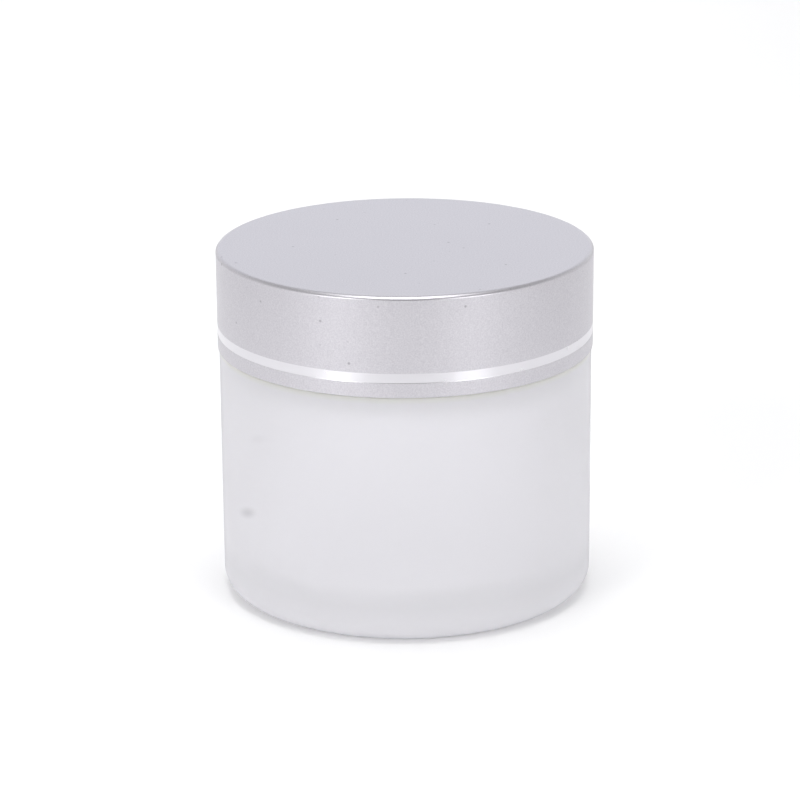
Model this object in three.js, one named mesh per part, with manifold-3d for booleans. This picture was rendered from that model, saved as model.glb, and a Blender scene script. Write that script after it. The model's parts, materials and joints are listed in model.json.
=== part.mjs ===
// Cosmetic cream jar: a thick frosted glass jar with a satin aluminium screw lid.
// Millimetres, +Z up. The origin is the centre of the foot, on the surface that the jar stands on.
import * as THREE from "three";
import { mergeVertices } from "three/addons/utils/BufferGeometryUtils.js";
import Module from "manifold-3d";

const wasm = await Module();
wasm.setup();

// ---------------------------------------------------------------- driving dimensions

const TOTAL_HEIGHT = 65.8; // closed, from the foot to the top of the lid
const FACETS = 64; // flats round every turned piece
const CORNER_STEPS = 3; // flats in each rounded corner
const REST_GAP = 0.3; // between pieces that rest on each other or are pressed together

// Glass jar
const JAR_RADIUS = 34.7;
const HEEL_RADIUS = 4; // rounding between the foot and the wall
const SHOULDER_ROUND = 1; // rounding between the wall and the shoulder
const SHOULDER_GAP = 0.4; // open line between the shoulder and the closed lid
const FOOT_RING_INNER = 24; // the foot is a flat ring round a pushed-up centre
const PUSH_UP = 0.8;
const PUSH_UP_SLOPE = 2.5;
const CAVITY_RADIUS = 30;
const BASE_THICKNESS = 7; // solid glass under the cavity
const CAVITY_HEEL = 4.5; // rounding between the cavity's floor and wall
const CAVITY_SHOULDER_DROP = 4.4; // height over which the cavity narrows to the neck

// Neck and its screw thread
const NECK_ROOT_RADIUS = 27.45;
const NECK_BORE_RADIUS = 24;
const NECK_FILLET = 0.8;
const LIP_ROUND = 0.5;
const THREAD_PITCH = 25.4 / 6;
const THREAD_DEPTH = 1.15;
const THREAD_BASE = 2.2;
const THREAD_CREST = 0.9;
const THREAD_EMBED = 0.5; // how far a thread's root reaches into the wall that carries it
const THREAD_TURNS = 1.5;
const THREAD_RUN_OUT = 0.07; // share of the thread's length that tapers away at each end
const THREAD_END_DEPTH = 0.2; // share of the section that is left at the very ends
const NECK_THREAD_START = 4.1; // centre of the thread's lower end above the shoulder
const THREAD_CLEARANCE = 0.4; // radial, crest to root
const FLANK_OFFSET = 1.8; // the lid's thread bears under the neck's thread
const LID_THREAD_LEAD = 0.15; // turns that the lid's thread starts after the neck's

// Lid: the aluminium shell, the plastic liner that carries the thread, and the foam wad
const LID_RADIUS = 35;
const LID_HEIGHT = 18.6;
const SHELL_WALL = 0.5;
const SHELL_TOP_ROUND = 0.6;
const SHELL_EDGE_BREAK = 0.15;
const LINE_BOTTOM = 3; // the bright-cut line, above the lid's lower edge
const LINE_HEIGHT = 1.5;
const LINE_DEPTH = 0.15;
const LINER_WALL = 1.4;
const LINER_RECESS = 0.6; // the liner's lower face, above the lid's lower edge
const LINER_LEAD_IN = 0.6;
const LINER_RIM_HEIGHT = 10.2; // the outer rim that is pressed into the shell
const LINER_RIM_WALL = 1.2;
const WAD_THICKNESS = 1.3;

// Inner disc that lies on the mouth under the lid
const DISC_WALL = 0.8;
const DISC_RADIUS = 27;
const DISC_PLUG_DEPTH = 1.9; // the dish below the flange, from the flange's underside to the dish's underside
const TAB_WIDTH = 14;
const TAB_THICKNESS = 1;
const TAB_ROUND = 0.6;

// ---------------------------------------------------------------- worked-out heights

const LID_BOTTOM = TOTAL_HEIGHT - LID_HEIGHT;
const SHOULDER_Z = LID_BOTTOM - SHOULDER_GAP;
const LINER_TOP = LID_HEIGHT - SHELL_WALL - REST_GAP; // these three are above the lid's lower edge
const LINER_CEILING = LINER_TOP - LINER_WALL;
const WAD_BOTTOM = LINER_CEILING - REST_GAP - WAD_THICKNESS;
const DISC_Z = LID_BOTTOM + WAD_BOTTOM - REST_GAP - DISC_WALL; // underside of the disc's flange
const NECK_TOP = DISC_Z - REST_GAP;
const LINER_BORE_RADIUS = NECK_ROOT_RADIUS + THREAD_DEPTH + THREAD_CLEARANCE;

// ---------------------------------------------------------------- helpers

const point = (radius, height) => new THREE.Vector2(radius, height);

// Points of an arc in the profile plane, between two angles in degrees from the outward direction.
function arc(centreRadius, centreHeight, radius, from, to, steps = CORNER_STEPS) {
  const points = [];
  for (let i = 0; i <= steps; i += 1) {
    const angle = THREE.MathUtils.degToRad(from + ((to - from) * i) / steps);
    points.push(point(centreRadius + radius * Math.cos(angle), centreHeight + radius * Math.sin(angle)));
  }
  return points;
}

// A closed geometry as a solid for joining and cutting.
function toSolid(geometry) {
  const bare = new THREE.BufferGeometry();
  bare.setAttribute("position", geometry.getAttribute("position").clone());
  if (geometry.index) {
    bare.setIndex(geometry.index.clone());
  }
  const merged = mergeVertices(bare, 1e-3);
  return new wasm.Manifold(
    new wasm.Mesh({
      numProp: 3,
      vertProperties: merged.getAttribute("position").array,
      triVerts: new Uint32Array(merged.index.array),
    }),
  );
}

// A solid back as a geometry.
function toGeometry(solid) {
  const mesh = solid.getMesh();
  const geometry = new THREE.BufferGeometry();
  geometry.setAttribute("position", new THREE.BufferAttribute(mesh.vertProperties, mesh.numProp));
  geometry.setIndex(new THREE.BufferAttribute(mesh.triVerts, 1));
  geometry.computeVertexNormals();
  return geometry;
}

// A solid turned about the Z axis from a profile that starts and ends on the axis, anticlockwise.
function turned(profile) {
  return new THREE.LatheGeometry(profile, FACETS).rotateX(Math.PI / 2);
}

// A right-hand screw ridge round the Z axis. It stands out of a wall of the given radius, outwards on a
// neck and inwards in a bore, and fades into the wall at both ends.
function screwRidge(wallRadius, startTurn, startHeight, outwards) {
  const section = new THREE.Shape([
    point(-THREAD_EMBED, -THREAD_BASE / 2),
    point(THREAD_DEPTH, -THREAD_CREST / 2),
    point(THREAD_DEPTH, THREAD_CREST / 2),
    point(-THREAD_EMBED, THREAD_BASE / 2),
  ]);
  const ridge = new THREE.ExtrudeGeometry(section, {
    depth: 1,
    steps: Math.round(FACETS * THREAD_TURNS),
    bevelEnabled: false,
  });
  const position = ridge.getAttribute("position");
  for (let i = 0; i < position.count; i += 1) {
    const share = outwards ? 1 - position.getZ(i) : position.getZ(i);
    const fade = Math.min(1, share / THREAD_RUN_OUT, (1 - share) / THREAD_RUN_OUT);
    const kept = THREAD_END_DEPTH + (1 - THREAD_END_DEPTH) * fade;
    const depth = -THREAD_EMBED + (position.getX(i) + THREAD_EMBED) * kept;
    const radius = wallRadius + (outwards ? depth : -depth);
    const angle = 2 * Math.PI * (startTurn + share * THREAD_TURNS);
    const height = startHeight + position.getY(i) + share * THREAD_TURNS * THREAD_PITCH;
    position.setXYZ(i, radius * Math.cos(angle), radius * Math.sin(angle), height);
  }
  return ridge;
}

function material(color, roughness, metalness, opacity = 1) {
  return new THREE.MeshStandardMaterial({
    color,
    roughness,
    metalness,
    opacity,
    transparent: opacity < 1,
  });
}

function piece(name, geometry, finish) {
  const mesh = new THREE.Mesh(geometry, finish);
  mesh.name = name;
  return mesh;
}

// ---------------------------------------------------------------- sub-parts

// The jar: flat foot ring, rounded heel, straight wall, flat shoulder and threaded neck outside; a
// straight-sided cavity over a thick base inside.
function glassJar() {
  const cavityTop = SHOULDER_Z - SHOULDER_ROUND;
  const profile = [
    point(0, PUSH_UP),
    point(FOOT_RING_INNER - PUSH_UP_SLOPE, PUSH_UP),
    point(FOOT_RING_INNER, 0),
    ...arc(JAR_RADIUS - HEEL_RADIUS, HEEL_RADIUS, HEEL_RADIUS, -90, 0, 2 * CORNER_STEPS),
    ...arc(JAR_RADIUS - SHOULDER_ROUND, SHOULDER_Z - SHOULDER_ROUND, SHOULDER_ROUND, 0, 90),
    point(NECK_ROOT_RADIUS + NECK_FILLET, SHOULDER_Z),
    point(NECK_ROOT_RADIUS, SHOULDER_Z + NECK_FILLET),
    ...arc(NECK_ROOT_RADIUS - LIP_ROUND, NECK_TOP - LIP_ROUND, LIP_ROUND, 0, 90),
    ...arc(NECK_BORE_RADIUS + LIP_ROUND, NECK_TOP - LIP_ROUND, LIP_ROUND, 90, 180),
    point(NECK_BORE_RADIUS, SHOULDER_Z + NECK_FILLET),
    point((NECK_BORE_RADIUS + CAVITY_RADIUS) / 2, cavityTop - CAVITY_SHOULDER_DROP / 3),
    point(CAVITY_RADIUS, cavityTop - CAVITY_SHOULDER_DROP),
    ...arc(CAVITY_RADIUS - CAVITY_HEEL, BASE_THICKNESS + CAVITY_HEEL, CAVITY_HEEL, 0, -90, 2 * CORNER_STEPS),
    point(0, BASE_THICKNESS),
  ];
  const startHeight = SHOULDER_Z + NECK_THREAD_START;
  const body = toSolid(turned(profile));
  const thread = toSolid(screwRidge(NECK_ROOT_RADIUS, 0, startHeight, true));
  return toGeometry(body.add(thread));
}

// The lid's drawn outer cap, with a shallow bright-cut line round it. Heights are above its lower edge.
function lidShell() {
  const innerRadius = LID_RADIUS - SHELL_WALL;
  const lineTop = LINE_BOTTOM + LINE_HEIGHT;
  const profile = [
    point(0, LID_HEIGHT - SHELL_WALL),
    point(innerRadius, LID_HEIGHT - SHELL_WALL),
    point(innerRadius, 0),
    point(LID_RADIUS - SHELL_EDGE_BREAK, 0),
    point(LID_RADIUS, SHELL_EDGE_BREAK),
    point(LID_RADIUS, LINE_BOTTOM),
    point(LID_RADIUS - LINE_DEPTH, LINE_BOTTOM + LINE_DEPTH),
    point(LID_RADIUS - LINE_DEPTH, lineTop - LINE_DEPTH),
    point(LID_RADIUS, lineTop),
    ...arc(LID_RADIUS - SHELL_TOP_ROUND, LID_HEIGHT - SHELL_TOP_ROUND, SHELL_TOP_ROUND, 0, 90),
    point(0, LID_HEIGHT),
  ];
  return turned(profile);
}

// The plastic cup that is pressed into the shell: a threaded bore, a closed top, and a flange at the
// bottom with a rim that grips the shell. Heights are above the lid's lower edge.
function lidLiner() {
  const outerRadius = LID_RADIUS - SHELL_WALL - REST_GAP;
  const cupRadius = LINER_BORE_RADIUS + LINER_WALL;
  const flangeTop = LINER_RECESS + LINER_WALL;
  const profile = [
    point(0, LINER_CEILING),
    point(LINER_BORE_RADIUS, LINER_CEILING),
    point(LINER_BORE_RADIUS, LINER_RECESS + LINER_LEAD_IN),
    point(LINER_BORE_RADIUS + LINER_LEAD_IN, LINER_RECESS),
    point(outerRadius, LINER_RECESS),
    point(outerRadius, LINER_RIM_HEIGHT),
    point(outerRadius - LINER_RIM_WALL, LINER_RIM_HEIGHT),
    point(outerRadius - LINER_RIM_WALL, flangeTop),
    point(cupRadius, flangeTop),
    point(cupRadius, LINER_TOP),
    point(0, LINER_TOP),
  ];
  const neckHelixHeight = SHOULDER_Z + NECK_THREAD_START + LID_THREAD_LEAD * THREAD_PITCH;
  const startHeight = neckHelixHeight - FLANK_OFFSET - LID_BOTTOM;
  const body = toSolid(turned(profile));
  const thread = toSolid(screwRidge(LINER_BORE_RADIUS, LID_THREAD_LEAD, startHeight, false));
  return toGeometry(body.add(thread));
}

// The foam disc in the top of the liner that is squeezed on the mouth. Its underside is at height 0.
function sealingWad() {
  const radius = LINER_BORE_RADIUS - THREAD_CLEARANCE;
  return turned([point(0, 0), point(radius, 0), point(radius, WAD_THICKNESS), point(0, WAD_THICKNESS)]);
}

// The loose disc on the mouth: a flange over the rim, a shallow dish inside the neck, and an upright
// finger tab in the dish. The underside of the flange is at height 0.
function innerDisc() {
  const plugRadius = NECK_BORE_RADIUS - REST_GAP;
  const dishFloor = DISC_WALL - DISC_PLUG_DEPTH;
  const dish = turned([
    point(0, -DISC_PLUG_DEPTH),
    point(plugRadius - DISC_WALL / 2, -DISC_PLUG_DEPTH),
    point(plugRadius, DISC_WALL / 2 - DISC_PLUG_DEPTH),
    point(plugRadius, 0),
    point(DISC_RADIUS, 0),
    point(DISC_RADIUS, DISC_WALL),
    point(plugRadius - DISC_WALL, DISC_WALL),
    point(plugRadius - DISC_WALL, dishFloor),
    point(0, dishFloor),
  ]);
  const half = TAB_WIDTH / 2;
  const outline = new THREE.Shape();
  outline.moveTo(-half, dishFloor - DISC_WALL / 2);
  outline.lineTo(half, dishFloor - DISC_WALL / 2);
  outline.lineTo(half, DISC_WALL - TAB_ROUND);
  outline.absarc(half - TAB_ROUND, DISC_WALL - TAB_ROUND, TAB_ROUND, 0, Math.PI / 2, false);
  outline.absarc(TAB_ROUND - half, DISC_WALL - TAB_ROUND, TAB_ROUND, Math.PI / 2, Math.PI, false);
  const tab = new THREE.ExtrudeGeometry(outline, {
    depth: TAB_THICKNESS,
    bevelEnabled: false,
    curveSegments: CORNER_STEPS,
  });
  tab.translate(0, 0, -TAB_THICKNESS / 2).rotateX(Math.PI / 2);
  return toGeometry(toSolid(dish).add(toSolid(tab)));
}

// ---------------------------------------------------------------- assembly

const frostedGlass = material(0xe4e3e9, 0.55, 0, 0.7);
const satinAluminium = material(0xd3d2d8, 0.38, 0.9);
const whitePolypropylene = material(0xf1f1ef, 0.5, 0);
const whiteFoam = material(0xf6f6f4, 0.9, 0);

const lid = new THREE.Group();
lid.position.z = LID_BOTTOM;
lid.add(piece("lid_shell", lidShell(), satinAluminium));
lid.add(piece("lid_liner", lidLiner(), whitePolypropylene));
const wad = piece("sealing_wad", sealingWad(), whiteFoam);
wad.position.z = WAD_BOTTOM;
lid.add(wad);

const disc = piece("inner_disc", innerDisc(), whitePolypropylene.clone());
disc.position.z = DISC_Z;

const creamJar = new THREE.Group();
creamJar.add(piece("glass_jar", glassJar(), frostedGlass));
creamJar.add(disc);
creamJar.add(lid);

export default creamJar;
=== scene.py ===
"""Cosmetic cream jar: frosted glass jar with a satin aluminium screw lid, on a pale studio floor."""

import json
import math

import bmesh
import bpy
from mathutils import Matrix, Vector


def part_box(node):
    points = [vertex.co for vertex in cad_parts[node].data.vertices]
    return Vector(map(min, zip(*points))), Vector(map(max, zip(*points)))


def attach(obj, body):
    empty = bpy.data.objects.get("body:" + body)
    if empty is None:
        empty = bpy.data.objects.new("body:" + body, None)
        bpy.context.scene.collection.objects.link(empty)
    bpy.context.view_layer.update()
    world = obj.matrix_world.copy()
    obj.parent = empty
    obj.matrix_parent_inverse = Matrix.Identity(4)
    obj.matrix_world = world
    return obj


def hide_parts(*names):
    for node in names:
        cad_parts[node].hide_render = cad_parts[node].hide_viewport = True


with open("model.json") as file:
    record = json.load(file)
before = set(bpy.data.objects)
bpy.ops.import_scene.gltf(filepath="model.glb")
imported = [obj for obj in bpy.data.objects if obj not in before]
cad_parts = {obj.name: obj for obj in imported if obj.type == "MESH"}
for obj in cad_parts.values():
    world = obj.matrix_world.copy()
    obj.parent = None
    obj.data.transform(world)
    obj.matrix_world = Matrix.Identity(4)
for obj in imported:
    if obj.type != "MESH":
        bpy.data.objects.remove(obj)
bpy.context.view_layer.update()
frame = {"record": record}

# Sizes are in millimetres unless a comment says otherwise
MM = 0.001
AROUND = 288  # faces round every turned piece
SLACK = 0.01  # for telling the walls of a profile apart

# From the frame: corners of the CAD nodes' boxes, and the lid's rise in one turn
jar_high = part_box("glass_jar")[1] / MM
shell_low, shell_high = (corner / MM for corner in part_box("lid_shell"))
liner_low, liner_high = (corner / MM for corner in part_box("lid_liner"))
wad_low, wad_high = (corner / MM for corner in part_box("sealing_wad"))
disc_low, disc_high = (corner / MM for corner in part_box("inner_disc"))
coupling = {c["joint"]: c["ratio"] for c in frame["record"]["behaviour"]["couplings"]}
PITCH = coupling["lid_rise"] * 2 * math.pi / MM

# Jar
JAR_RADIUS = jar_high.x
SHOULDER_GAP = 0.04  # between the shoulder and the lid
SHOULDER = shell_low.z - SHOULDER_GAP
SHOULDER_ROUND = 0.45
HEEL = 4.0
FOOT_INNER = 24.0
FOOT_ROUND = 0.6
PUSH_UP = 0.8
PUSH_UP_RADIUS = 21.5  # of its flat part
CAVITY_RADIUS = 30.0
CAVITY_FLOOR = 7.0
CAVITY_HEEL = 4.5
CAVITY_TOP = SHOULDER - 5.4
NECK_TOP = jar_high.z
NECK_ROOT = 27.45
NECK_FILLET = 0.8
NECK_BORE = 24.0
NECK_BORE_BOTTOM = SHOULDER + 0.4
LIP_ROUND = 0.5
CLEAR_GLASS_INSET = 0.6  # from the neck's outside to where the lip's frosting ends
NECK_ROWS = 72  # rows of faces up the threaded wall

# Screw thread
THREAD_DEPTH = 1.15
THREAD_BASE = 2.2
THREAD_CREST = 0.9
THREAD_TURNS = 1.5
THREAD_RUN_OUT = 0.12  # of a turn, over which each end of the ridge fades
NECK_THREAD_START = shell_low.z + 3.7
FLANK_OFFSET = 1.8  # how far the lid's ridge runs below the neck's
LID_THREAD_LEAD = 0.15  # of a turn, by which it starts later
THREAD_MARGIN = 0.3  # plain wall between the neck's rows of faces and the rounds at its ends

# Aluminium shell
SHELL_WALL = 0.5
LOWER_EDGE_ROUND = 0.06
EDGE_SIDE_ROUND = 0.35  # of the lid's top edge, where it leaves the side
EDGE_TOP_ROUND = 1.05  # and where it runs into the top
EDGE_TURN = 35  # degrees that the edge has turned where the first becomes the second
LINE_BOTTOM = 2.75
LINE_HEIGHT = 1.72
LINE_DEPTH = 0.04

# Liner
LINER_WALL = 1.4  # of the threaded wall, the ceiling and the flange at the foot
LINER_BORE = 29.0
LINER_BORE_ROUND = 0.4
LINER_CHAMFER = 0.6
LINER_RIM_TOP = 9.6
LINER_RIM_WALL = 1.2
LINER_RIM_ROUND = 0.2
LINER_FOOT_ROUND = 0.3
LINER_TOP_ROUND = 0.5
LINER_MARGIN = 0.1  # plain wall between the bore's rows of faces and the round above them
LINER_ROWS = 80

# Wad and inner disc
WAD_ROUND = 0.25
DISC_WALL = 0.8
DISC_PLAY = 0.3  # between its plug and the neck's bore
DISC_ROUND = 0.3
DISC_PLUG_ROUND = 0.6
TAB_WIDTH = 14.0
TAB_THICKNESS = 1.0
TAB_CORNER = 0.9
TAB_EDGE = 0.35
TAB_EDGE_STEPS = 5
TAB_SINK = 0.3  # of the tab's foot into the disc's floor

# Seeds in the glass: angle round the axis, height, half their width and darkness at the middle
SEEDS = [
    (math.radians(212.4), 20.0, 4.2, 0.3),
    (math.radians(219.0), 35.4, 3.8, 0.09),
]
SEED_FLATNESS = 2.7  # how much wider a seed is round the jar than it is tall
SEED_SLOPE = 0.28  # how far it climbs for each millimetre round the jar

# Heights and radii that the glass's green tint and painted shade under the lid, and its painted shade round
# the base's inner corner, run between
SHOULDER_TINT_AND_SHADE = (SHOULDER - 1.3, SHOULDER + 0.1)
SHOULDER_TINT_AND_SHADE_RADII = (JAR_RADIUS - 5.0, JAR_RADIUS - 1.5)
# Heights of the painted shade round the base's inner corner
CORNER_SHADE_BELOW = (4.2, CAVITY_FLOOR)
CORNER_SHADE_ABOVE = (CAVITY_FLOOR, 11.0)
CORNER_SHADE_SHARE = 0.5  # at its strongest

# Colours. A pair is the two ends of a slight variation over the surface.
ALUMINIUM = (0.712, 0.699, 0.731), (0.732, 0.718, 0.748)
ALUMINIUM_GRAIN = (0.70, 0.69, 0.72)
DUST = (0.22, 0.21, 0.24)
BARE_METAL = (0.775, 0.762, 0.80), (0.80, 0.79, 0.825)
GLASS = (0.958, 0.948, 0.985), (0.967, 0.959, 0.995)
# The glass's own green where it thickens at the shoulder, darkened as painted shade under the lid's edge
SHOULDER_GREEN_AND_SHADE = (0.925, 0.93, 0.85)
# Painted shade round the inner corner of the thick base, seen through the glass
CORNER_SHADE_GREY = (0.88, 0.875, 0.905)
SEED_GREY = (0.3, 0.29, 0.31)
POLYPROPYLENE = (0.88, 0.88, 0.87)
POLYETHYLENE = (0.9, 0.9, 0.89)
FOAM = (0.9, 0.9, 0.89), (0.95, 0.95, 0.94)


# ---------------------------------------------------------------- turned meshes

def arc(centre, radius, start, end, steps):
    """Points of an arc in the profile plane, from one angle to another, in degrees from outwards."""
    angles = [math.radians(start + (end - start) * i / steps) for i in range(steps + 1)]
    return [(centre[0] + radius * math.cos(a), centre[1] + radius * math.sin(a)) for a in angles]


def rounded(corner, radius, start, end, steps=4):
    """The arc that rounds off a profile's square corner, which lies beyond the arc's middle."""
    middle = math.radians((start + end) / 2)
    across = math.copysign(radius, math.cos(middle))
    up = math.copysign(radius, math.sin(middle))
    return arc((corner[0] - across, corner[1] - up), radius, start, end, steps)


def straight(start, end, steps):
    """Points along a straight stretch of profile, both ends included."""
    return [
        (start[0] + (end[0] - start[0]) * i / steps, start[1] + (end[1] - start[1]) * i / steps)
        for i in range(steps + 1)
    ]


def held(points, margin=0.06):
    """The profile with an extra point close to each end of every long flat, so that shading stays flat."""
    out = [points[0]]
    for a, b in zip(points, points[1:]):
        length = math.dist(a, b)
        if length > 4 * margin:
            step = margin / length
            out.append((a[0] + (b[0] - a[0]) * step, a[1] + (b[1] - a[1]) * step))
            out.append((b[0] + (a[0] - b[0]) * step, b[1] + (a[1] - b[1]) * step))
        out.append(b)
    return out


def turned(name, profile, materials, pick=None, relief=None):
    """A mesh turned about the Z axis from a profile that starts and ends on the axis. pick(radius, height)
    gives a face's material, and relief(radius, height, angle) an outward offset."""
    vertices, faces, rows, slots = [], [], [], []
    for radius, height in profile:
        if radius == 0:
            rows.append([len(vertices)] * AROUND)
            vertices.append((0.0, 0.0, height * MM))
            continue
        row = []
        for k in range(AROUND):
            angle = 2 * math.pi * k / AROUND
            r = radius + (relief(radius, height, angle) if relief else 0.0)
            row.append(len(vertices))
            vertices.append((r * math.cos(angle) * MM, r * math.sin(angle) * MM, height * MM))
        rows.append(row)
    for (lower, upper), (a, b) in zip(zip(rows, rows[1:]), zip(profile, profile[1:])):
        slot = pick((a[0] + b[0]) / 2, (a[1] + b[1]) / 2) if pick else 0
        for k in range(AROUND):
            n = (k + 1) % AROUND
            corners = [lower[k], lower[n], upper[n], upper[k]]
            faces.append([c for i, c in enumerate(corners) if c != corners[i - 1]])
            slots.append(slot)
    mesh = bpy.data.meshes.new(name)
    mesh.from_pydata(vertices, [], faces)
    for material in materials:
        mesh.materials.append(material)
    mesh.polygons.foreach_set("material_index", slots)
    mesh.polygons.foreach_set("use_smooth", [True] * len(faces))
    mesh.update()
    piece = bpy.data.objects.new(name, mesh)
    bpy.context.scene.collection.objects.link(piece)
    return piece


def thread_relief(start_height, lead):
    """How far a screw ridge stands out of its wall, from 0 to THREAD_DEPTH, at a height and angle."""
    half_base, half_crest = THREAD_BASE / 2, THREAD_CREST / 2
    end = lead + THREAD_TURNS

    def depth(height, angle):
        share = (angle / (2 * math.pi) - lead) % 1.0 + lead
        best = 0.0
        for along in (share, share + 1):
            if along > end:
                continue
            off = abs(height - start_height - (along - lead) * PITCH)
            rise = min(1.0, max(0.0, (half_base - off) / (half_base - half_crest)))
            rise = rise * rise * (3 - 2 * rise)
            fade = min(1.0, (along - lead) / THREAD_RUN_OUT, (end - along) / THREAD_RUN_OUT)
            best = max(best, THREAD_DEPTH * rise * math.sqrt(fade))
        return best

    return depth


# ---------------------------------------------------------------- materials

def new_material(name):
    material = bpy.data.materials.new(name)
    material.use_nodes = True
    return material, material.node_tree, material.node_tree.nodes["Principled BSDF"]


def node(tree, kind, **inputs):
    made = tree.nodes.new(kind)
    for key, value in inputs.items():
        made.inputs[key].default_value = value
    return made


def link(tree, source, target):
    tree.links.new(source, target)


def object_coordinates(tree):
    return tree.nodes.new("ShaderNodeTexCoord").outputs["Object"]


def noise(tree, scale, detail=3.0, roughness=0.5):
    made = node(tree, "ShaderNodeTexNoise", Scale=scale, Detail=detail, Roughness=roughness)
    link(tree, object_coordinates(tree), made.inputs["Vector"])
    return made.outputs["Fac"]


def cells(tree, scale):
    made = node(tree, "ShaderNodeTexVoronoi", Scale=scale)
    link(tree, object_coordinates(tree), made.inputs["Vector"])
    return made


def ranged(tree, value, low, high, source=(0.0, 1.0)):
    """A value mapped from a source range to one from low to high, and held at its ends."""
    made = tree.nodes.new("ShaderNodeMapRange")
    made.inputs["From Min"].default_value = source[0]
    made.inputs["From Max"].default_value = source[1]
    made.inputs["To Min"].default_value = low
    made.inputs["To Max"].default_value = high
    link(tree, value, made.inputs["Value"])
    return made.outputs["Result"]


def ramp(tree, length, span, low=0, high=1):
    """ranged() for a length, from a span of it in millimetres."""
    return ranged(tree, length, low, high, (span[0] * MM, span[1] * MM))


def math_node(tree, operation, first, second):
    """A Math node of two inputs, each a socket or a number."""
    made = tree.nodes.new("ShaderNodeMath")
    made.operation = operation
    for socket, value in zip(made.inputs, (first, second)):
        if isinstance(value, (int, float)):
            socket.default_value = value
        else:
            link(tree, value, socket)
    return made.outputs[0]


def vector_math(tree, operation, vector, constant=(0, 0, 0)):
    """A Vector Math node of a socket and a constant."""
    made = tree.nodes.new("ShaderNodeVectorMath")
    made.operation = operation
    link(tree, vector, made.inputs[0])
    made.inputs[1].default_value = constant
    return made


def mixed(tree, factor, first, second, blend="MIX"):
    """A Mix node of two colours, each a socket or a tuple."""
    made = tree.nodes.new("ShaderNodeMix")
    made.data_type = "RGBA"
    made.blend_type = blend
    link(tree, factor, made.inputs[0])
    for socket, value in zip((made.inputs[6], made.inputs[7]), (first, second)):
        if isinstance(value, tuple):
            socket.default_value = (*value, 1)
        else:
            link(tree, value, socket)
    return made.outputs[2]


def bumped(tree, shader, height, strength, distance):
    made = node(tree, "ShaderNodeBump", Strength=strength, Distance=distance * MM)
    link(tree, height, made.inputs["Height"])
    link(tree, made.outputs["Normal"], shader.inputs["Normal"])


def specks(tree, spacing, radius, share):
    """1 inside sparse round specks and 0 elsewhere."""
    grid = cells(tree, 1 / (spacing * MM))
    chance = tree.nodes.new("ShaderNodeSeparateColor")
    link(tree, grid.outputs["Color"], chance.inputs[0])
    inside = ranged(tree, grid.outputs["Distance"], 1, 0, (0.5 * radius / spacing, radius / spacing))
    return math_node(tree, "MULTIPLY", inside, math_node(tree, "LESS_THAN", chance.outputs[0], share))


def seed(tree, angle, height, radius):
    """1 at a point of the jar's outside, falling smoothly to 0 at the edge of a flat sloping spot."""
    outward = Vector((math.cos(angle), math.sin(angle), 0))
    round_jar = Vector((-math.sin(angle), math.cos(angle), 0))
    upward = SEED_FLATNESS * (Vector((0, 0, 1)) - SEED_SLOPE * round_jar)
    offset = tree.nodes.new("ShaderNodeCombineXYZ")
    centre = (JAR_RADIUS, 0, height * SEED_FLATNESS)
    for socket, axis, start in zip(offset.inputs, (outward, round_jar, upward), centre):
        along = vector_math(tree, "DOT_PRODUCT", object_coordinates(tree), axis).outputs["Value"]
        link(tree, math_node(tree, "SUBTRACT", along, start * MM), socket)
    away = vector_math(tree, "LENGTH", offset.outputs[0]).outputs["Value"]
    spot = ramp(tree, away, (0, radius), low=1, high=0)
    spot.node.interpolation_type = "SMOOTHSTEP"
    return spot


def satin_aluminium():
    """Fine-blasted and anodised aluminium: an even grain with a few specks of dust."""
    material, tree, shader = new_material("satin_aluminium")
    shader.inputs["Metallic"].default_value = 1.0
    grain = noise(tree, 3800, detail=2.0, roughness=0.65)
    tone = mixed(tree, noise(tree, 70), *ALUMINIUM)
    tone = mixed(tree, ranged(tree, grain, 0.25, 0.75, (0.3, 0.7)), tone, ALUMINIUM_GRAIN, "MULTIPLY")
    dust = specks(tree, spacing=2.6, radius=0.32, share=0.24)
    tone = mixed(tree, math_node(tree, "MULTIPLY", dust, 0.55), tone, DUST)
    link(tree, tone, shader.inputs["Base Color"])
    link(tree, ranged(tree, grain, 0.31, 0.44), shader.inputs["Roughness"])
    bumped(tree, shader, math_node(tree, "ADD", grain, dust), strength=0.14, distance=0.04)
    return material


def bright_line():
    """The line that a diamond tool cuts through the satin skin: bare metal, with turning marks round the lid
    that stretch its reflections upwards and downwards."""
    material, tree, shader = new_material("bright_cut")
    shader.inputs["Metallic"].default_value = 1.0
    link(tree, mixed(tree, noise(tree, 60, detail=2.0), *BARE_METAL), shader.inputs["Base Color"])
    link(tree, ranged(tree, noise(tree, 300), 0.26, 0.30), shader.inputs["Roughness"])
    shader.inputs["Anisotropic"].default_value = 0.75
    shader.inputs["Anisotropic Rotation"].default_value = 0.25
    return material


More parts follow.
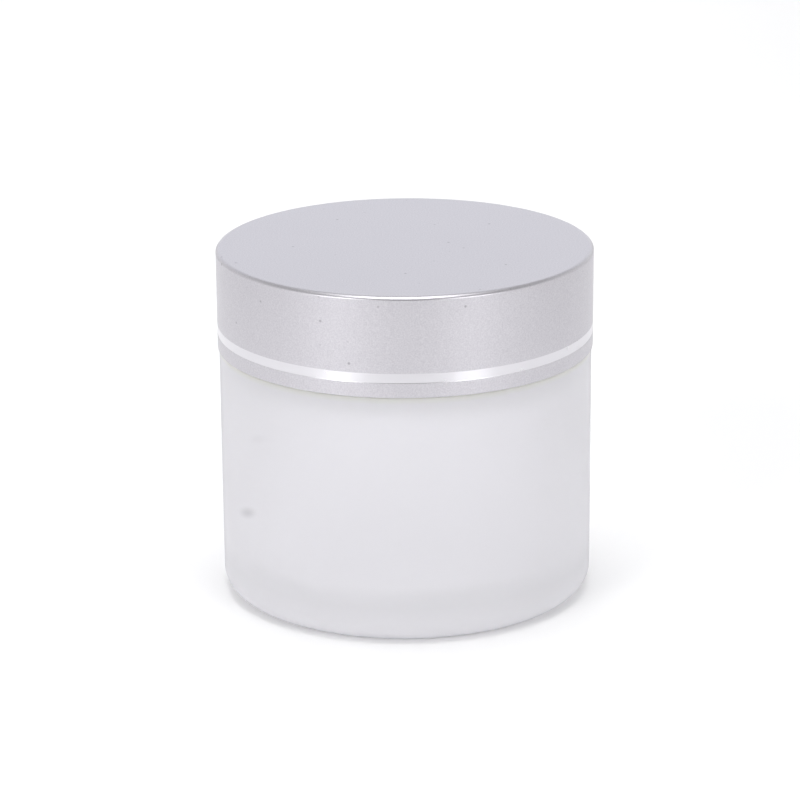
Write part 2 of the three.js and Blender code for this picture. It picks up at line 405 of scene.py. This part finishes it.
def frosted_glass(name, roughness, transmission):
    """Acid-etched glass: milky and very slightly lavender, greener at the shoulder's rim where the glass is
    thick and darker there as painted shade under the lid, with painted shade round the corner of the thick
    base, and with two faint seeds."""
    material, tree, shader = new_material(name)
    frost = noise(tree, 2600, detail=2.0, roughness=0.6)
    tone = mixed(tree, noise(tree, 45, detail=2.0), *GLASS)

    place = tree.nodes.new("ShaderNodeSeparateXYZ")
    link(tree, object_coordinates(tree), place.inputs[0])
    height = place.outputs["Z"]
    flat = vector_math(tree, "MULTIPLY", object_coordinates(tree), (1, 1, 0)).outputs["Vector"]
    radius = vector_math(tree, "LENGTH", flat).outputs["Value"]

    # The shoulder's rim: the thick glass's green tint, with painted shade under the lid
    shoulder = ramp(tree, height, SHOULDER_TINT_AND_SHADE)
    rim = ramp(tree, radius, SHOULDER_TINT_AND_SHADE_RADII)
    tone = mixed(tree, math_node(tree, "MULTIPLY", shoulder, rim), tone, SHOULDER_GREEN_AND_SHADE)

    # Painted shade round the inner corner of the thick base
    below = ramp(tree, height, CORNER_SHADE_BELOW)
    above = ramp(tree, height, CORNER_SHADE_ABOVE, low=CORNER_SHADE_SHARE, high=0)
    tone = mixed(tree, math_node(tree, "MULTIPLY", below, above), tone, CORNER_SHADE_GREY)

    for angle, seed_height, seed_radius, darkness in SEEDS:
        spot = seed(tree, angle, seed_height, seed_radius)
        tone = mixed(tree, math_node(tree, "MULTIPLY", spot, darkness), tone, SEED_GREY)

    link(tree, tone, shader.inputs["Base Color"])
    link(tree, ranged(tree, frost, roughness - 0.05, roughness + 0.05), shader.inputs["Roughness"])
    shader.inputs["IOR"].default_value = 1.5
    shader.inputs["Transmission Weight"].default_value = transmission
    bumped(tree, shader, frost, strength=0.1, distance=0.03)
    return material


def white_plastic(name, color, roughness, subsurface):
    material, tree, shader = new_material(name)
    dimmer = tuple(c * 0.97 for c in color)
    link(tree, mixed(tree, noise(tree, 120), dimmer, color), shader.inputs["Base Color"])
    sheen = ranged(tree, noise(tree, 1500), roughness - 0.06, roughness + 0.06)
    link(tree, sheen, shader.inputs["Roughness"])
    shader.inputs["Subsurface Weight"].default_value = subsurface
    shader.inputs["Subsurface Scale"].default_value = 2 * MM
    bumped(tree, shader, noise(tree, 700), strength=0.08, distance=0.04)
    return material


def white_foam():
    material, tree, shader = new_material("white_foam")
    bubbles = cells(tree, 2600).outputs["Distance"]
    link(tree, mixed(tree, bubbles, *FOAM), shader.inputs["Base Color"])
    shader.inputs["Roughness"].default_value = 0.9
    bumped(tree, shader, bubbles, strength=0.5, distance=0.1)
    return material


# ---------------------------------------------------------------- pieces

def make_jar():
    ridge = thread_relief(NECK_THREAD_START, 0.0)
    outside = held([
        (0, PUSH_UP),
        (PUSH_UP_RADIUS, PUSH_UP),
        *rounded((FOOT_INNER, 0), FOOT_ROUND, -150, -90),
        *rounded((JAR_RADIUS, 0), HEEL, -90, 0, 24),
        *rounded((JAR_RADIUS, SHOULDER), SHOULDER_ROUND, 0, 90, 10),
        *rounded((NECK_ROOT, SHOULDER), NECK_FILLET, 270, 180, 5),
    ])
    neck = straight(
        (NECK_ROOT, SHOULDER + NECK_FILLET + THREAD_MARGIN),
        (NECK_ROOT, NECK_TOP - LIP_ROUND - THREAD_MARGIN),
        NECK_ROWS,
    )
    inside = held([
        *rounded((NECK_ROOT, NECK_TOP), LIP_ROUND, 0, 90, 6),
        *rounded((NECK_BORE, NECK_TOP), LIP_ROUND, 90, 180, 6),
        *bore_to_cavity(),
        *rounded((CAVITY_RADIUS, CAVITY_FLOOR), CAVITY_HEEL, 0, -90, 14),
        (0, CAVITY_FLOOR),
    ])
    materials = [
        frosted_glass("frosted_glass", roughness=0.66, transmission=0.42),
        frosted_glass("glass_inside", roughness=0.18, transmission=0.85),
    ]

    def pick(radius, height):
        """1 for the clearer glass of the lip's top, the bore and the cavity, and 0 for the outside."""
        clear = NECK_ROOT - CLEAR_GLASS_INSET if height > SHOULDER else CAVITY_RADIUS + SLACK
        return 1 if height > PUSH_UP + SLACK and radius < clear else 0

    def outward(radius, height, angle):
        return ridge(height, angle) if abs(radius - NECK_ROOT) < SLACK else 0.0

    piece = turned("glass_jar_frosted", outside + neck + inside, materials, pick, outward)
    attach(piece, "jar")
    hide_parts("glass_jar")


def bore_to_cavity():
    """The rounded change from the neck's bore to the wider cavity under the shoulder."""
    steps = 16
    points = []
    for i in range(steps + 1):
        share = i / steps
        smooth = share * share * (3 - 2 * share)
        radius = NECK_BORE + (CAVITY_RADIUS - NECK_BORE) * smooth
        points.append((radius, NECK_BORE_BOTTOM + (CAVITY_TOP - NECK_BORE_BOTTOM) * share))
    return points


def top_edge(radius, high):
    """The lid's top edge: a tight round off the side that opens into a wider one towards the top."""
    turn = math.radians(EDGE_TURN)
    wider = EDGE_TOP_ROUND - EDGE_SIDE_ROUND
    low_centre = (radius - EDGE_SIDE_ROUND, high - EDGE_TOP_ROUND + wider * math.sin(turn))
    high_centre = (low_centre[0] - wider * math.cos(turn), high - EDGE_TOP_ROUND)
    return (arc(low_centre, EDGE_SIDE_ROUND, 0, EDGE_TURN, 6)
            + arc(high_centre, EDGE_TOP_ROUND, EDGE_TURN, 90, 10)[1:])


def make_shell():
    radius, low, high = shell_high.x, shell_low.z, shell_high.z
    inner = radius - SHELL_WALL
    line_low, line_high = low + LINE_BOTTOM, low + LINE_BOTTOM + LINE_HEIGHT
    profile = held([
        (0, high - SHELL_WALL),
        (inner, high - SHELL_WALL),
        *rounded((inner, low), LOWER_EDGE_ROUND, 180, 270, 3),
        *rounded((radius, low), LOWER_EDGE_ROUND, -90, 0),
        (radius, line_low - LINE_DEPTH),
        (radius - LINE_DEPTH, line_low),
        (radius - LINE_DEPTH, line_high),
        (radius, line_high + LINE_DEPTH),
        *top_edge(radius, high),
        (0, high),
    ], margin=0.04)

    def pick(r, z):
        """1 for the bright line, and 0 for the satin metal."""
        return 1 if line_low < z < line_high and r > inner + SLACK else 0

    piece = turned("lid_shell_satin", profile, [satin_aluminium(), bright_line()], pick)
    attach(piece, "lid")
    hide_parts("lid_shell")


def make_liner():
    outer, low, high = liner_high.x, liner_low.z, liner_high.z
    ceiling = high - LINER_WALL
    threaded = LINER_BORE + LINER_WALL
    rim = low + LINER_RIM_TOP
    start = NECK_THREAD_START + LID_THREAD_LEAD * PITCH - FLANK_OFFSET
    ridge = thread_relief(start, LID_THREAD_LEAD)
    top = held([(0, ceiling), *rounded((LINER_BORE, ceiling), LINER_BORE_ROUND, 90, 0)])
    bore_top = ceiling - LINER_BORE_ROUND - LINER_MARGIN
    bore = straight((LINER_BORE, bore_top), (LINER_BORE, low + LINER_CHAMFER), LINER_ROWS)
    outside = held([
        (LINER_BORE + LINER_CHAMFER, low),
        *rounded((outer, low), LINER_FOOT_ROUND, -90, 0),
        *rounded((outer, rim), LINER_RIM_ROUND, 0, 90, 3),
        *rounded((outer - LINER_RIM_WALL, rim), LINER_RIM_ROUND, 90, 180, 3),
        (outer - LINER_RIM_WALL, low + LINER_WALL),
        (threaded, low + LINER_WALL),
        *rounded((threaded, high), LINER_TOP_ROUND, 0, 90),
        (0, high),
    ])

    def inward(radius, height, angle):
        return -ridge(height, angle) if abs(radius - LINER_BORE) < SLACK else 0.0

    plastic = white_plastic("white_polypropylene", POLYPROPYLENE, roughness=0.42, subsurface=0.15)
    piece = turned("lid_liner_moulded", top + bore + outside, [plastic], relief=inward)
    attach(piece, "lid")
    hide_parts("lid_liner")


def make_wad():
    radius, low, high = wad_high.x, wad_low.z, wad_high.z
    profile = held([
        (0, low),
        *rounded((radius, low), WAD_ROUND, -90, 0),
        *rounded((radius, high), WAD_ROUND, 0, 90),
        (0, high),
    ])
    piece = turned("sealing_wad_foam", profile, [white_foam()])
    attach(piece, "wad")
    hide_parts("sealing_wad")


def make_disc():
    radius, low, high = disc_high.x, disc_low.z, disc_high.z
    plug = NECK_BORE - DISC_PLAY
    dish, floor = plug - DISC_WALL, low + DISC_WALL
    profile = held([
        (0, low),
        *rounded((plug, low), DISC_PLUG_ROUND, -90, 0, 5),
        (plug, high - DISC_WALL),
        *rounded((radius, high - DISC_WALL), DISC_ROUND, -90, 0),
        *rounded((radius, high), DISC_ROUND, 0, 90),
        *rounded((dish, high), DISC_ROUND, 90, 180),
        *rounded((dish, floor), DISC_ROUND, 0, -90),
        (0, floor),
    ])
    plastic = white_plastic("white_polyethylene", POLYETHYLENE, roughness=0.38, subsurface=0.3)
    piece = turned("inner_disc_moulded", profile, [plastic])
    add_tab(piece.data, floor - TAB_SINK, high)
    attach(piece, "disc")
    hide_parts("inner_disc")


def add_tab(mesh, bottom, top):
    """Adds the disc's upright finger tab: a plate with its edges rounded at the sides and the top."""
    half = TAB_WIDTH / 2
    middle = (bottom + top) / 2
    outline = [
        (-half, bottom),
        (half, bottom),
        *rounded((half, top), TAB_CORNER, 0, 90, 6),
        *rounded((-half, top), TAB_CORNER, 90, 180, 6),
    ]
    quarter = [math.radians(90 * i / TAB_EDGE_STEPS) for i in range(TAB_EDGE_STEPS + 1)]
    build = bmesh.new()
    rings = []
    for side, angle in [(-1, a) for a in quarter] + [(1, a) for a in reversed(quarter)]:
        inset = TAB_EDGE * (1 - math.sin(angle))
        depth = side * (TAB_THICKNESS / 2 - TAB_EDGE * (1 - math.cos(angle)))
        ring = []
        for x, z in outline:
            x_in = x - math.copysign(inset, x)
            z_in = z - inset if z > middle else z
            ring.append(build.verts.new((x_in * MM, depth * MM, z_in * MM)))
        rings.append(ring)
    for first, second in zip(rings, rings[1:]):
        for k in range(len(outline)):
            n = (k + 1) % len(outline)
            build.faces.new((first[k], first[n], second[n], second[k]))
    build.faces.new(reversed(rings[0]))
    build.faces.new(rings[-1])
    bmesh.ops.recalc_face_normals(build, faces=build.faces)
    for face in build.faces:
        face.smooth = True
    build.from_mesh(mesh)
    build.to_mesh(mesh)
    build.free()


# ---------------------------------------------------------------- stage

CAMERA_PLACE = (0.0, -620.9, 236.0)
CAMERA_PITCH = 17.888  # degrees below the horizon
CAMERA_YAW = -0.1
CAMERA_ROLL = -0.46
CAMERA_LENS = 156.3
CAMERA_SENSOR = 36.0

# From here on places and sizes are in metres
FLOOR_HALF = 4.0
FLOOR_GLOW = 0.08

# Light that reaches the jar from each side of the room. A direction's light is the sum of the walls that
# it faces, each by the square of its share of the direction.
WALLS = {"-Y": 0.2, "+Y": 0.92, "-X": 1.08, "+X": 1.03}

# Name, place, size, watts, colour and spread in degrees. A box that spreads its light less than all round is
# overhead and faces straight down, and the others face the jar.
WHITE = (1, 1, 1)
COOL = (0.89, 0.94, 1.12)
ALL_ROUND = 180
SOFTBOXES = [
    ("softbox_left", (-0.95, -1.15, 0.55), (0.5, 1.0), 7.2, WHITE, ALL_ROUND),
    ("softbox_right", (0.95, -1.15, 0.55), (0.5, 1.0), 6.3, WHITE, ALL_ROUND),
    ("softbox_strip", (-0.03, 0.3, 1.1), (0.62, 1.7), 1.95, WHITE, 56),
    ("softbox_back", (0, 1.6, 0.7), (1.6, 1.0), 1.35, COOL, ALL_ROUND),
]
LIGHT_TARGET = (0, 0, 0.035)


def make_camera():
    pitch, yaw, roll = (math.radians(a) for a in (CAMERA_PITCH, CAMERA_YAW, CAMERA_ROLL))
    level = Vector((math.sin(yaw), math.cos(yaw), 0.0))
    forward = math.cos(pitch) * level - Vector((0.0, 0.0, math.sin(pitch)))
    right = Vector((math.cos(yaw), -math.sin(yaw), 0.0))
    up = right.cross(forward)
    rolled_right = math.cos(roll) * right + math.sin(roll) * up
    rolled_up = math.cos(roll) * up - math.sin(roll) * right
    rotation = Matrix((rolled_right, rolled_up, -forward)).transposed()
    data = bpy.data.cameras.new("camera")
    data.lens = CAMERA_LENS
    data.sensor_width = CAMERA_SENSOR
    camera = bpy.data.objects.new("camera", data)
    camera.matrix_world = Matrix.Translation(Vector(CAMERA_PLACE) * MM) @ rotation.to_4x4()
    bpy.context.scene.collection.objects.link(camera)
    bpy.context.scene.camera = camera


def make_floor():
    corners = [(x * FLOOR_HALF, y * FLOOR_HALF, 0) for x, y in ((-1, -1), (1, -1), (1, 1), (-1, 1))]
    mesh = bpy.data.meshes.new("floor")
    mesh.from_pydata(corners, [], [(0, 1, 2, 3)])
    material, _, shader = new_material("floor")
    shader.inputs["Base Color"].default_value = (0.95, 0.95, 0.955, 1)
    shader.inputs["Roughness"].default_value = 0.9
    shader.inputs["Emission Color"].default_value = (1, 1, 1, 1)
    shader.inputs["Emission Strength"].default_value = FLOOR_GLOW
    mesh.materials.append(material)
    floor = bpy.data.objects.new("floor", mesh)
    bpy.context.scene.collection.objects.link(floor)


def make_world():
    world = bpy.data.worlds.new("studio")
    world.use_nodes = True
    tree = world.node_tree
    direction = tree.nodes.new("ShaderNodeSeparateXYZ")
    link(tree, tree.nodes.new("ShaderNodeTexCoord").outputs["Generated"], direction.inputs[0])
    total = None
    for wall, level in WALLS.items():
        side = -1 if wall[0] == "-" else 1
        towards = math_node(tree, "MULTIPLY", direction.outputs[wall[1]], side)
        facing = math_node(tree, "MAXIMUM", towards, 0)
        light = math_node(tree, "MULTIPLY", math_node(tree, "POWER", facing, 2), level)
        total = math_node(tree, "ADD", total, light) if total else light
    link(tree, total, tree.nodes["Background"].inputs["Strength"])
    tree.nodes["Background"].inputs["Color"].default_value = (1, 1, 1, 1)
    bpy.context.scene.world = world


def make_softbox(name, place, size, power, color, spread):
    data = bpy.data.lights.new(name, "AREA")
    data.shape = "RECTANGLE"
    data.size, data.size_y = size
    data.energy = power
    data.color = color
    data.spread = math.radians(spread)
    aim = Vector(LIGHT_TARGET) - Vector(place)
    if spread < ALL_ROUND:
        aim = Vector((0, 0, -1))
    light = bpy.data.objects.new(name, data)
    light.location = place
    light.rotation_mode = "QUATERNION"
    light.rotation_quaternion = aim.to_track_quat("-Z", "Y")
    light.visible_camera = False
    bpy.context.scene.collection.objects.link(light)


make_camera()
make_floor()
make_world()
for box in SOFTBOXES:
    make_softbox(*box)
bpy.context.scene.view_settings.view_transform = "Standard"

make_jar()
make_shell()
make_liner()
make_wad()
make_disc()
